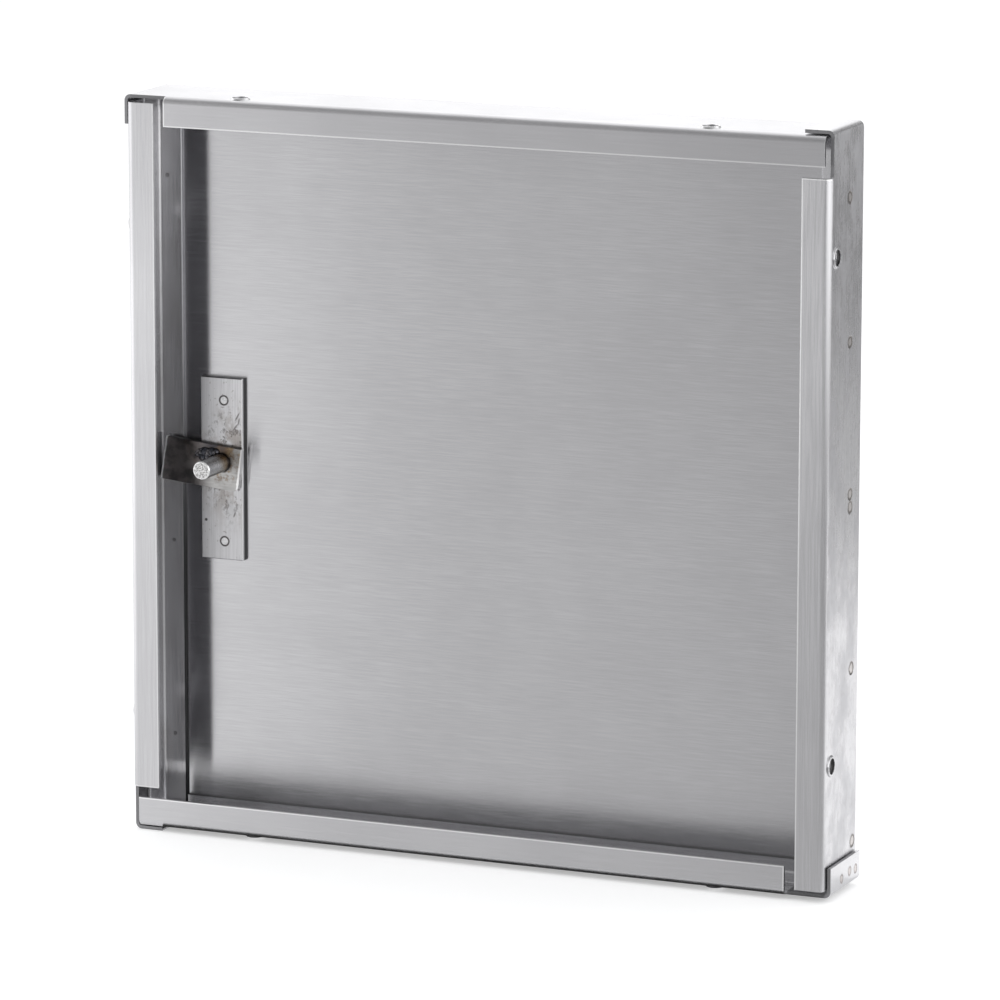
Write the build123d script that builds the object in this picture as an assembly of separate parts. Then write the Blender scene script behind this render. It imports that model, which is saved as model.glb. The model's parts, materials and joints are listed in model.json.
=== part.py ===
from build123d import *
import math
import os

# Recessed access panel in folded stainless sheet, seen in use from its public side at +Y.
# X runs across the panel, Z runs up and Y runs from the rear flanges to the public side.
# The origin is below the middle of the panel, at the underside of the lowest end tab.
# Each depth below is measured from the rear plane of the frame towards the public side.

# Frame channels
SIDE = 317.5                # over the webs, the same across and up
DEPTH = 38.1                # rear plane to front edge
SHEET = 1.5                 # sheet thickness of the channels
FLANGE = 12.7               # width of a rear flange, over the web
BEND = 1.5                  # inside radius of the flange bend
TAB = 12.7                  # height of an end tab, over its web
TAB_BEND = 1.2              # inside radius of the tab bend
TAB_GAP = 0.6               # between a tab and the web that it laps
END_GAP = 1.5               # from a channel's plain end to the web that it meets
FLANGE_GAP = 4.7            # between one rear flange and the next

# Screw holes in the webs, dimpled outwards for flat heads
HOLE_SPACING = 212.0
HOLE_SHIFT = 2.5            # from the side's middle to the holes' middle, towards the tab
HOLE_DEPTH = 7.0            # depth of a hole's centre
HOLE_R = 3.4
HEAD_R = 4.4                # mouth of the countersink, on the inner face
DIMPLE_R = 4.6              # foot of the dimple, on the outer face
DIMPLE_RIM = 0.6            # width of the dimple's flat rim round the hole
DIMPLE_RISE = 0.8
DIMPLE_WALL = 1.0           # straight length of the hole

# Stop angles
STOP_SHEET = 1.5
STOP_BEND = 1.5             # inside radius
STOP_SETBACK = 12.7         # from the frame's front edge back to the lips' rear faces
STOP_LEG = 15.4             # leg along the web, over the lip
SIDE_LIP = 12.0             # lip width at the sides, over the leg
END_LIP = 8.0               # lip width at the top and bottom, over the leg
STOP_END_GAP = 0.5          # from an angle's end to what it meets

# Door tray
DOOR_SHEET = 1.5
DOOR_BEND = 1.0             # inside radius of the folded edges
DOOR_SEAT = 0.1             # from the lips' front faces to the door
DOOR_GAP = 2.0              # round the three free edges
DOOR_SETBACK = 1.0          # from the frame's front edge to the door's folded edges
CORNER_SLIT = 0.8
CORNER_RELIEF_R = 1.6

# Continuous hinge at the right
KNUCKLE_R = 2.4
PIN_R = 1.2
PIN_FIT = 0.05              # round the pin in the turning knuckles
PIN_SEAT = 0.02             # round the pin in the fixed knuckles
LEAF_SHEET = 1.0
LEAF_PROUD = 0.3            # a leaf's outer face stands this far outside its knuckles
LEAF_WIDTH = 6.1            # from the pin's centre to a leaf's edge
KNUCKLE_PITCH = 25.4
KNUCKLE_COUNT = 11
KNUCKLE_GAP = 0.3
KNUCKLE_CLEAR = 0.4         # between a leaf's cut-outs and the other leaf's knuckles
PIN_OVERHANG = 0.6

# Latch plate and its rivets
LATCH_Z = 158.2             # shaft centre, from the outer face of the bottom web
PLATE_WIDTH = 19.6
PLATE_HEIGHT = 79.3
PLATE_SHEET = 3.0
PLATE_SHIFT = 1.1           # plate centre to the left of the shaft
PLATE_DROP = 3.2            # plate centre below the shaft
PLATE_CHAMFER = 0.3
UPPER_RIVET_INSET = 9.8     # from the plate's upper end
LOWER_RIVET_INSET = 8.0     # from the plate's lower end
RIVET_R = 2.0
RIVET_HEAD_R = 3.2
RIVET_HEAD = 1.1            # length of the countersunk head

# Cam and shaft
SHAFT_R = 4.0
SHAFT_FIT = 0.05            # round the shaft in the plate
SHAFT_CLEAR = 0.3           # round the shaft in the door
SHAFT_STICKOUT = 20.0       # from the cam to the shaft's rear end
SHAFT_CHAMFER = 0.4
CAM_LENGTH = 37.0
CAM_WIDTH = 18.8
CAM_SHEET = 2.5
CAM_OFFSET = 8.9            # shaft centre to the cam's short end
CAM_DROP = 2.3              # cam's middle line below the shaft centre
CAM_TILT = 5.5              # degrees above level, at rest
CAM_CORNER_R = 3.0
CAM_TIP_CLEAR = 1.3         # from the cam's lower left corner to the left stop angle's leg, at rest
CAM_CLEAR = 0.2             # between the cam and the plate
CAM_SEAT = 0.02             # round the shaft in the cam
HEAD_CLEAR = 0.2            # between the slotted head and the door
SLOT_HEAD_R = 7.0
SLOT_HEAD = 2.0
SLOT_WIDTH = 1.3
SLOT_DEPTH = 1.1
WELD_LEG = 4.0              # weld foot, out from the shaft
WELD_THROAT = 2.6           # weld height along the shaft
WELD_START = 92             # degrees round the shaft, from +X
WELD_SWEEP = 115

# Worked out from the sizes above
HALF = SIDE / 2
OUTER_BEND = BEND + SHEET
STOP_DEPTH = DEPTH - STOP_SETBACK
STOP_FRONT = STOP_DEPTH + STOP_SHEET
DOOR_REAR = STOP_FRONT + DOOR_SEAT
DOOR_FRONT = DOOR_REAR + DOOR_SHEET
DOOR_RIM = DEPTH - DOOR_SETBACK
PLATE_REAR = DOOR_REAR - PLATE_SHEET
CAM_FRONT = PLATE_REAR - CAM_CLEAR
CAM_REAR = CAM_FRONT - CAM_SHEET
HEAD_REAR = DOOR_FRONT + HEAD_CLEAR
LEAF_FACE = KNUCKLE_R + LEAF_PROUD
PIN_X = HALF - SHEET - LEAF_FACE
PIN_Y = DEPTH - KNUCKLE_R
CAM_TURN = math.radians(CAM_TILT)
CAM_REACH = (CAM_LENGTH - CAM_OFFSET) * math.cos(CAM_TURN) + (CAM_DROP + CAM_WIDTH / 2) * math.sin(CAM_TURN)
SHAFT_X = -HALF + SHEET + STOP_SHEET + CAM_TIP_CLEAR + CAM_REACH
SHAFT_Z = LATCH_Z - HALF
DOOR_LEFT = -HALF + SHEET + DOOR_GAP
DOOR_RIGHT = PIN_X - LEAF_FACE
DOOR_TOP = HALF - SHEET - DOOR_GAP
HINGE_LENGTH = KNUCKLE_PITCH * KNUCKLE_COUNT

TO_ROW = Pos(0, -DEPTH / 2, HALF + TAB_GAP + SHEET)


def angle_section(leg_a, leg_b, sheet, inside_r):
    """An L of folded sheet: leg_a along the first axis, leg_b along the second."""
    face = make_face(Polyline(
        (0, 0), (leg_a, 0), (leg_a, sheet), (sheet, sheet), (sheet, leg_b), (0, leg_b), close=True))
    face = fillet(face.vertices().sort_by_distance((0, 0))[0], inside_r + sheet)
    return fillet(face.vertices().sort_by_distance((sheet, sheet))[0], inside_r)


def box_between(x0, x1, y0, y1, z0, z1):
    return Pos((x0 + x1) / 2, (y0 + y1) / 2, (z0 + z1) / 2) * Box(x1 - x0, y1 - y0, z1 - z0)


def along_depth(radius, y0, y1, x=0.0, z=0.0):
    """A round bar along Y."""
    return Pos(x, (y0 + y1) / 2, z) * Rot(90, 0, 0) * Cylinder(radius, y1 - y0)


def taper_along_depth(y0, r0, y1, r1, x=0.0, z=0.0):
    """A cone along Y with radius r0 at y0 and r1 at y1."""
    section = make_face(Polyline((0, y0), (r0, y0), (r1, y1), (0, y1), close=True))
    return Pos(x, 0, z) * revolve(section, Axis.Y)


def on_side(turns, shape):
    """Turns a bottom piece to the right, top or left side of the square."""
    return Rot(0, -90 * turns, 0) * shape


def screw_hole(x):
    """The dimple and the hole of one screw, for a bottom web: what is added and what is cut."""
    low, high = -HALF - DIMPLE_RISE, -HALF + SHEET
    cone_foot = low + DIMPLE_WALL
    rim_r = HOLE_R + DIMPLE_RIM
    bump = make_face(Polyline((0, -HALF), (DIMPLE_R, -HALF), (rim_r, low), (0, low), close=True))
    hole = make_face(Polyline(
        (0, low), (HOLE_R, low), (HOLE_R, cone_foot), (HEAD_R, high), (0, high), close=True))
    spot = Pos(x, HOLE_DEPTH, 0)
    return tuple(spot * revolve(Plane.XZ * section, Axis.Z) for section in (bump, hole))


def channel():
    """The bottom channel. Its tab folds up outside the right web."""
    start = -HALF + SHEET + END_GAP
    flange_end = HALF - FLANGE - FLANGE_GAP
    long_part = extrude(
        Plane.YZ.offset(start) * angle_section(DEPTH, FLANGE, SHEET, BEND), flange_end - start)
    reach = HALF + TAB_GAP + SHEET - flange_end
    tab = extrude(
        Plane.XZ * angle_section(reach, TAB, SHEET, TAB_BEND), -(DEPTH - OUTER_BEND))
    tab = Pos(flange_end + reach, OUTER_BEND, 0) * mirror(tab, Plane.YZ)
    body = Pos(0, 0, -HALF) * (long_part + tab)
    for x in (-HOLE_SPACING / 2, HOLE_SPACING / 2):
        bump, hole = screw_hole(HOLE_SHIFT + x)
        body = body + bump - hole
    return body


def stop_angle(lip, length):
    """A bottom stop angle: its leg lies on the web and its lip stands up in front of the door."""
    section = angle_section(STOP_LEG, lip, STOP_SHEET, STOP_BEND)
    bar = extrude(Plane.YZ.offset(-length / 2) * section, length)
    return Pos(0, STOP_FRONT, -HALF + SHEET) * mirror(bar, Plane.XZ)


def door_tray():
    """The door: a flat sheet with four edges folded towards the public side."""
    outer = box_between(DOOR_LEFT, DOOR_RIGHT, DOOR_REAR, DOOR_RIM, -DOOR_TOP, DOOR_TOP)
    outer = fillet(outer.faces().sort_by(Axis.Y)[0].edges(), DOOR_BEND + DOOR_SHEET)
    inner = box_between(
        DOOR_LEFT + DOOR_SHEET, DOOR_RIGHT - DOOR_SHEET, DOOR_FRONT, DOOR_RIM + 1,
        -DOOR_TOP + DOOR_SHEET, DOOR_TOP - DOOR_SHEET)
    inner = fillet(inner.faces().sort_by(Axis.Y)[0].edges(), DOOR_BEND)
    tray = outer - inner
    for x, z, turn in (
            (DOOR_LEFT, -DOOR_TOP, 45), (DOOR_RIGHT, DOOR_TOP, 45),
            (DOOR_LEFT, DOOR_TOP, -45), (DOOR_RIGHT, -DOOR_TOP, -45)):
        slit = Pos(x, DOOR_FRONT + DEPTH / 2, z) * Rot(0, -turn, 0) * Box(
            6 * DOOR_SHEET, DEPTH, CORNER_SLIT)
        inset = DOOR_SHEET + CORNER_RELIEF_R / 2
        relief = along_depth(
            CORNER_RELIEF_R, DOOR_REAR - 1, DOOR_FRONT + DOOR_BEND,
            x - math.copysign(inset, x), z - math.copysign(inset, z))
        tray = tray - slit - relief
    tray -= along_depth(SHAFT_R + SHAFT_CLEAR, DOOR_REAR - 1, DOOR_FRONT + 1, SHAFT_X, SHAFT_Z)
    for z in rivet_heights():
        tray -= rivet(z)
    return tray


def rivet_heights():
    low = SHAFT_Z - PLATE_DROP - PLATE_HEIGHT / 2
    return (low + LOWER_RIVET_INSET, low + PLATE_HEIGHT - UPPER_RIVET_INSET)


def rivet(z):
    """A rivet that ends flush in the plate and has a countersunk head in the door."""
    head_rear = DOOR_FRONT - RIVET_HEAD
    shank = along_depth(RIVET_R, PLATE_REAR, head_rear, SHAFT_X, z)
    return shank + taper_along_depth(head_rear, RIVET_R, DOOR_FRONT, RIVET_HEAD_R, SHAFT_X, z)


def latch_plate():
    middle = SHAFT_Z - PLATE_DROP
    plate = Pos(SHAFT_X - PLATE_SHIFT, (PLATE_REAR + DOOR_REAR) / 2, middle) * Box(
        PLATE_WIDTH, PLATE_SHEET, PLATE_HEIGHT)
    plate = chamfer(plate.faces().sort_by(Axis.Y)[0].edges(), PLATE_CHAMFER)
    plate -= along_depth(SHAFT_R + SHAFT_FIT, PLATE_REAR - 1, DOOR_REAR + 1, SHAFT_X, SHAFT_Z)
    for z in rivet_heights():
        plate -= along_depth(RIVET_R, PLATE_REAR - 1, DOOR_REAR + 1, SHAFT_X, z)
    return plate


def cam_shaft():
    """The shaft and its slotted head, which is turned from the public side."""
    bar = along_depth(SHAFT_R, CAM_REAR - SHAFT_STICKOUT, HEAD_REAR)
    bar = chamfer(bar.faces().sort_by(Axis.Y)[0].edges(), SHAFT_CHAMFER)
    head = along_depth(SLOT_HEAD_R, HEAD_REAR, HEAD_REAR + SLOT_HEAD)
    head = chamfer(head.faces().sort_by(Axis.Y)[-1].edges(), SHAFT_CHAMFER)
    slot = Pos(0, HEAD_REAR + SLOT_HEAD - SLOT_DEPTH / 2, 0) * Box(
        3 * SLOT_HEAD_R, SLOT_DEPTH, SLOT_WIDTH)
    return at_shaft(bar + head - slot)


def at_shaft(shape):
    """Places a piece drawn round Y at the shaft, turned to the cam's rest angle."""
    return Pos(SHAFT_X, 0, SHAFT_Z) * Rot(0, CAM_TILT, 0) * shape


def cam_plate():
    """A flat bar. Its long end points left and lies behind the left stop lip."""
    long_end = CAM_OFFSET - CAM_LENGTH
    low = -CAM_DROP - CAM_WIDTH / 2
    cam = box_between(long_end, CAM_OFFSET, CAM_REAR, CAM_FRONT, low, low + CAM_WIDTH)
    corner = cam.edges().filter_by(Axis.Y).sort_by_distance((CAM_OFFSET, CAM_REAR, low))[0]
    cam = fillet(corner, CAM_CORNER_R)
    return at_shaft(cam - along_depth(SHAFT_R + CAM_SEAT, CAM_REAR - 1, CAM_FRONT + 1))


def cam_weld():
    """The bead round part of the shaft, on the cam's rear face."""
    inner = SHAFT_R
    bead = make_face([
        Line((inner, CAM_REAR), (inner + WELD_LEG, CAM_REAR)),
        ThreePointArc(
            (inner + WELD_LEG, CAM_REAR),
            (inner + 0.62 * WELD_LEG, CAM_REAR - 0.62 * WELD_THROAT),
            (inner, CAM_REAR - WELD_THROAT)),
        Line((inner, CAM_REAR - WELD_THROAT), (inner, CAM_REAR))])
    return at_shaft(Rot(0, -WELD_START, 0) * revolve(bead, Axis.Y, -WELD_SWEEP))


def hinge_leaf(sign, first, bore_r):
    """One leaf, with every second knuckle from first. sign is 1 on the frame and -1 on the door."""
    face = sorted((sign * LEAF_FACE, sign * (LEAF_FACE - LEAF_SHEET)))
    low = -HINGE_LENGTH / 2
    cut_back = KNUCKLE_R + KNUCKLE_CLEAR
    leaf = box_between(face[0], face[1], -LEAF_WIDTH, -cut_back, low, -low)
    middle = (face[0] + face[1]) / 2
    neck = Pos(middle, -cut_back / 2) * Rectangle(LEAF_SHEET, cut_back)
    section = Circle(KNUCKLE_R) + neck - Circle(bore_r)
    for k in range(first, KNUCKLE_COUNT, 2):
        bottom = low + k * KNUCKLE_PITCH + KNUCKLE_GAP / 2
        leaf += extrude(Plane.XY.offset(bottom) * section, KNUCKLE_PITCH - KNUCKLE_GAP)
    return Pos(PIN_X, PIN_Y, 0) * leaf


def hinge_pin():
    pin = Cylinder(PIN_R, HINGE_LENGTH + 2 * PIN_OVERHANG)
    ends = pin.faces().filter_by(GeomType.PLANE).edges()
    return Pos(PIN_X, PIN_Y, 0) * chamfer(ends, PIN_R / 4)


def build():
    """Every piece by its name, in the panel's own frame."""
    side_names = ("bottom", "right", "top", "left")
    inner_height = SIDE - 2 * (SHEET + STOP_END_GAP)
    inner_width = SIDE - 2 * (SHEET + SIDE_LIP + STOP_END_GAP)
    pieces = {}
    for turns, name in enumerate(side_names):
        pieces[f"frame_{name}_channel"] = on_side(turns, channel())
        if turns % 2:
            pieces[f"stop_angle_{name}"] = on_side(turns, stop_angle(SIDE_LIP, inner_height))
        else:
            pieces[f"stop_angle_{name}"] = on_side(turns, stop_angle(END_LIP, inner_width))
    lower, upper = rivet_heights()
    pieces["hinge_frame_leaf"] = hinge_leaf(1, 0, PIN_R + PIN_SEAT)
    pieces["hinge_door_leaf"] = hinge_leaf(-1, 1, PIN_R + PIN_FIT)
    pieces["hinge_pin"] = hinge_pin()
    pieces["door_tray"] = door_tray()
    pieces["latch_plate"] = latch_plate()
    pieces["latch_rivet_upper"] = rivet(upper)
    pieces["latch_rivet_lower"] = rivet(lower)
    pieces["cam_shaft"] = cam_shaft()
    pieces["cam_plate"] = cam_plate()
    pieces["cam_weld"] = cam_weld()
    return pieces


os.makedirs("parts", exist_ok=True)
for name, shape in build().items():
    export_step(TO_ROW * shape, f"parts/{name}.step")
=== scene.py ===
import json
import math
import random

import bpy
from mathutils import Matrix, Vector

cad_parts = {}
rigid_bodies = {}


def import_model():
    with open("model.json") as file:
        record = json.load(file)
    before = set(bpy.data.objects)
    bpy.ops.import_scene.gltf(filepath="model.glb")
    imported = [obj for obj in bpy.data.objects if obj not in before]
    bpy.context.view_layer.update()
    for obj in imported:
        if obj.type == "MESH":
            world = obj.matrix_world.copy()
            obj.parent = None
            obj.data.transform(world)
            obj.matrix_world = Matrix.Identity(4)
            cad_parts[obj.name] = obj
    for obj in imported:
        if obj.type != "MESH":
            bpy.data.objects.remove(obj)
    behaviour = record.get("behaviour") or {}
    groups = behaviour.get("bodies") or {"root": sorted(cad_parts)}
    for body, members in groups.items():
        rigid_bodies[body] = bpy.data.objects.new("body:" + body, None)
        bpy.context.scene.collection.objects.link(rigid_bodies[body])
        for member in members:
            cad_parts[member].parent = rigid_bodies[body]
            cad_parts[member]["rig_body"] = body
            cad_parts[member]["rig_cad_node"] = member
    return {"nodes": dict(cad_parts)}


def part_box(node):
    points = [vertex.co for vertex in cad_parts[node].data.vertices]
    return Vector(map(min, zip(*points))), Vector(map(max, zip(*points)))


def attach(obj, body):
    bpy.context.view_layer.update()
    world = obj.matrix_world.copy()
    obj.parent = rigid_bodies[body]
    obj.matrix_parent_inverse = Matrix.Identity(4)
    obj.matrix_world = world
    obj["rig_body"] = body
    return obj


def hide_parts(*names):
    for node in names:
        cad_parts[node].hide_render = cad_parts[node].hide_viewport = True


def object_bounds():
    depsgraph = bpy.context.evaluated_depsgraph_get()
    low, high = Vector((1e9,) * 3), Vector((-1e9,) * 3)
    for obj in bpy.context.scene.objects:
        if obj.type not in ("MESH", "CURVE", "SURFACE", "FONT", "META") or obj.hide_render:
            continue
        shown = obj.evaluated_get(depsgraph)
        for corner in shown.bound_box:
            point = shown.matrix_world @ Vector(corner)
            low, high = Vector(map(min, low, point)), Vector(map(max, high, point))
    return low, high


# Recessed access panel, seen from its mechanism side. Lengths are in metres where no comment says mm.
MM = 0.001

# Camera, from the perspective of the photograph
FOCAL_PX = 6314.6
IMAGE_PX = 1000.0
SENSOR = 36.0
AZIMUTH = 0.4045
ELEVATION = 0.1965
ROLL = 0.0015
DISTANCE = 2.6525
AIM = Vector((0.00538, 0.0, 0.15481))

# Grain directions, in the panel's own frame
ACROSS = (1, 0, 0)
UPRIGHT = (0, 0, 1)

# The folded sheet, in mm: the rear face's Y, and distances from the panel's middle
REAR = -19.05
SHEET = 1.5
WEB_FACE = 158.75
TAB_FACE = WEB_FACE + 2.1
FLANGE_TIP = 146.05
FLANGE_END = 141.35
LIP_EDGES = {"bottom": 149.25, "right": 145.25, "top": 149.25, "left": 145.25}

# Depths from the rear face, in mm
HOLE_DEPTH = 7.0
LEG_DEPTH = 11.5
PLATE_DEPTH = 24.0
LIP_DEPTH = 25.4

# Heights and places across of holes and rivets, in mm
RIGHT_HOLES = (269.35, 57.35)
TOP_HOLES = (-108.5, 103.5)
RIVET_HEIGHTS = (125.45, 186.95)

# Marks, in mm: (depth, height) on the right web and tab, (across, height) on the left lip
RIGHT_SPOTS = ((22.2, 292.2), (24.3, 232.0), (26.6, 168.2), (26.8, 162.7), (30.5, 94.0), (34.2, 19.5))
TAB_SPOTS = ((16.4, 7.4), (26.0, 8.6), (33.2, 8.0))
LIP_SPOTS = ((-152.0, 282.5), (-150.2, 123.8), (-150.5, 38.2))

# Scratches on the latch plate: (across, height, length) in mm and the lean in radians
PLATE_SCRATCHES = (
    (-119.0, 180.2, 1.7, 0.5), (-118.3, 178.2, 1.2, 0.2),
    (-119.9, 175.6, 1.5, 0.65), (-120.6, 137.4, 1.0, 0.4))
PLATE_PIT = (-134.1, 134.3)

# Sheet edges are broken by this much; the cam's long end is out of square by its skew
SHEET_EDGE = 0.32 * MM
HINGE_EDGE = 0.12 * MM
CAM_SKEW = 1.1 * MM

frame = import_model()
CAD_BOX = [list(corner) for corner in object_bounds()]
SHAFT_X, SHAFT_Z = (sum(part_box("cam_shaft")[k][i] for k in (0, 1)) / 2 for i in (0, 2))
SHAFT_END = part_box("cam_shaft")[0][1]
CAM_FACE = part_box("cam_plate")[0][1]
MIDDLE_Z = sum(corner[2] for corner in CAD_BOX) / 2


def in_metres(*place):
    """A place given in mm."""
    return tuple(v * MM for v in place)


def cam_corners():
    """The cam's corners in the X-Z plane: long end upper and lower, short end upper and lower."""
    points = [vertex.co for vertex in frame["nodes"]["cam_plate"].data.vertices]
    picks = ((-1, 1), (-1, -1), (1, 1), (1, -1))
    corners = [max(points, key=lambda co: co.x * across + co.z * up) for across, up in picks]
    return [(co.x, co.z) for co in corners]


CAM_UPPER, CAM_LOWER, CAM_HEEL, CAM_TOE = cam_corners()


# Finishes

class Finish:
    """Lays out the nodes of one metal finish."""

    def __init__(self, name):
        self.material = bpy.data.materials.new(name)
        self.material.use_nodes = True
        self.tree = self.material.node_tree
        self.shader = self.tree.nodes["Principled BSDF"]
        self.shader.inputs["Metallic"].default_value = 1.0
        self.place = self.add("ShaderNodeTexCoord").outputs["Object"]
        self.relief = None

    def add(self, kind, **settings):
        """One new node with its settings."""
        node = self.tree.nodes.new(kind)
        for key, value in settings.items():
            setattr(node, key, value)
        return node

    def link(self, source, target):
        self.tree.links.new(source, target)

    def noise(self, scale, detail=2.0, offset=(0, 0, 0), rough=0.5, warp=0.0):
        """Noise with its own frequency, per metre, along each axis."""
        mapping = self.add("ShaderNodeMapping")
        self.link(self.place, mapping.inputs["Vector"])
        mapping.inputs["Scale"].default_value = scale
        mapping.inputs["Location"].default_value = offset
        node = self.add("ShaderNodeTexNoise")
        self.link(mapping.outputs["Vector"], node.inputs["Vector"])
        settings = (("Scale", 1.0), ("Detail", detail), ("Roughness", rough), ("Distortion", warp))
        for key, value in settings:
            node.inputs[key].default_value = value
        return node.outputs["Fac"]

    def axis(self, index):
        """One coordinate of the place on the piece."""
        parts = self.add("ShaderNodeSeparateXYZ")
        self.link(self.place, parts.inputs[0])
        return parts.outputs[index]

    def span(self, source, low, high, to_low=0.0, to_high=1.0):
        """A smooth step from one value to another as the source goes from low to high."""
        node = self.add("ShaderNodeMapRange", clamp=True, interpolation_type="SMOOTHSTEP")
        self.link(source, node.inputs["Value"])
        limits = (("From Min", low), ("From Max", high), ("To Min", to_low), ("To Max", to_high))
        for key, value in limits:
            node.inputs[key].default_value = value
        return node.outputs["Result"]

    def math(self, operation, first, second=0.0):
        """One sum, of numbers or sockets."""
        node = self.add("ShaderNodeMath", operation=operation)
        for socket, value in zip(node.inputs, (first, second)):
            if isinstance(value, (int, float)):
                socket.default_value = value
            else:
                self.link(value, socket)
        return node.outputs[0]

    def total(self, *values):
        """The values added up."""
        result = values[0]
        for value in values[1:]:
            result = self.math("ADD", result, value)
        return result

    def mix(self, factor, first, second):
        """A colour between two, each given as a tuple or a socket."""
        node = self.add("ShaderNodeMix", data_type="RGBA")
        for name, value in (("Factor_Float", factor), ("A_Color", first), ("B_Color", second)):
            socket = next(s for s in node.inputs if s.identifier == name)
            if isinstance(value, tuple):
                socket.default_value = (*value, 1.0)
            elif isinstance(value, (int, float)):
                socket.default_value = value
            else:
                self.link(value, socket)
        return next(s for s in node.outputs if s.identifier == "Result_Color")

    def facing(self, index):
        """One part of the surface's direction, in the piece's own frame."""
        direction = self.add("ShaderNodeTexCoord").outputs["Normal"]
        parts = self.add("ShaderNodeSeparateXYZ")
        self.link(direction, parts.inputs[0])
        return parts.outputs[index]

    def away(self, point, flatten=(1, 1, 1), lean=0.0):
        """Distance from a point, in metres, with each axis scaled after a turn about Y."""
        mapping = self.add("ShaderNodeMapping")
        source = self.place
        if lean:
            turned = self.add("ShaderNodeVectorRotate", rotation_type="Y_AXIS")
            self.link(source, turned.inputs["Vector"])
            turned.inputs["Center"].default_value = point
            turned.inputs["Angle"].default_value = -lean
            source = turned.outputs["Vector"]
        self.link(source, mapping.inputs["Vector"])
        mapping.inputs["Scale"].default_value = flatten
        mapping.inputs["Location"].default_value = tuple(-p * f for p, f in zip(point, flatten))
        node = self.add("ShaderNodeVectorMath", operation="LENGTH")
        self.link(mapping.outputs["Vector"], node.inputs[0])
        return node.outputs["Value"]

    def past_line(self, start, end):
        """Distance to the left of a line across the X-Z plane, in metres."""
        run, rise = end[0] - start[0], end[1] - start[1]
        length = math.hypot(run, rise)
        normal = (-rise / length, 0.0, run / length)
        node = self.add("ShaderNodeVectorMath", operation="DOT_PRODUCT")
        self.link(self.place, node.inputs[0])
        node.inputs[1].default_value = normal
        return self.math("SUBTRACT", node.outputs["Value"], start[0] * normal[0] + start[1] * normal[2])

    def band(self, source, low, high, soft):
        """1 between low and high, with soft edges."""
        rise = self.span(source, low - soft, low + soft)
        return self.both(rise, self.span(source, high - soft, high + soft, 1, 0))

    def both(self, first, second):
        """A mask cut by another, or weakened by a number."""
        return self.math("MULTIPLY", first, second)

    def either(self, *masks):
        """The masks laid over each other."""
        result = masks[0]
        for mask in masks[1:]:
            result = self.math("MAXIMUM", result, mask)
        return result

    def raise_by(self, height):
        """Adds to the relief, in metres."""
        self.relief = height if self.relief is None else self.math("ADD", self.relief, height)

    def grain_along(self, axis, strength):
        """Stretches the highlights across the grain, in the piece's own frame."""
        self.shader.inputs["Anisotropic"].default_value = strength
        self.shader.inputs["Anisotropic Rotation"].default_value = 0.25
        vector = self.add("ShaderNodeCombineXYZ")
        for socket, value in zip(vector.inputs, axis):
            socket.default_value = value
        turned = self.add(
            "ShaderNodeVectorTransform", vector_type="VECTOR", convert_from="OBJECT", convert_to="WORLD")
        self.link(vector.outputs[0], turned.inputs[0])
        self.link(turned.outputs[0], self.shader.inputs["Tangent"])

    def done(self, colour, roughness):
        """Joins the finish to its shader."""
        self.link(colour, self.shader.inputs["Base Color"])
        self.link(roughness, self.shader.inputs["Roughness"])
        if self.relief is not None:
            node = self.add("ShaderNodeBump")
            node.inputs["Strength"].default_value = 1.0
            node.inputs["Distance"].default_value = 1.0
            self.link(self.relief, node.inputs["Height"])
            self.link(node.outputs["Normal"], self.shader.inputs["Normal"])
        return self.material


def along_grain(axis, along, across):
    """Noise frequencies, per metre, for streaks that run along one axis."""
    return tuple(along if step else across for step in axis)


def times(colour, factor):
    """A colour made darker or lighter."""
    return tuple(c * factor for c in colour)


# Frequencies of the brushing, per metre along and across the grain
SHEET_HAIR = (42, 1700)
DOOR_HAIR = (70, 2400)

# Brushed sheet: tint of the steel, spread of its roughness and depth of its scratches
STEEL_TINT = (0.998, 0.994, 1.022)
ROUGH_SPREAD = 0.03
SCRATCH_DEPTH = 0.0012 * MM


def stainless(name, grain, tone, rough=0.24, streaks=0.035, anisotropy=1.0, hair=SHEET_HAIR, marks=None):
    """Brushed stainless sheet: fine streaks along the grain over a faint cloudiness."""
    m = Finish(name)
    m.grain_along(grain, anisotropy)
    fine = m.noise(along_grain(grain, *hair), detail=2.0)
    long_lines = m.noise(along_grain(grain, 5.0, hair[1] * 0.3), detail=2.0, offset=(3.1, 1.7, 5.3))
    cloud_map = m.noise((22.0, 22.0, 22.0), detail=3.0, offset=(7.7, 2.3, 4.9), rough=0.6)
    colour = times(STEEL_TINT, tone)
    base = m.mix(m.span(fine, 0.3, 0.7), times(colour, 1 - streaks), times(colour, 1 + streaks))
    base = m.mix(m.span(long_lines, 0.3, 0.7, 0.0, 0.3), base, times(colour, 1 - 1.5 * streaks))
    base = m.mix(m.span(cloud_map, 0.35, 0.7, 0.0, 0.15), base, times(colour, 0.8))
    wear = m.total(fine, m.math("MULTIPLY", cloud_map, 0.6))
    roughness = m.span(wear, 0.5, 1.1, rough - ROUGH_SPREAD, rough + ROUGH_SPREAD)
    m.raise_by(m.math("MULTIPLY", fine, SCRATCH_DEPTH))
    if marks:
        base, roughness = marks(m, base, roughness)
    return m.done(base, roughness)


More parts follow.
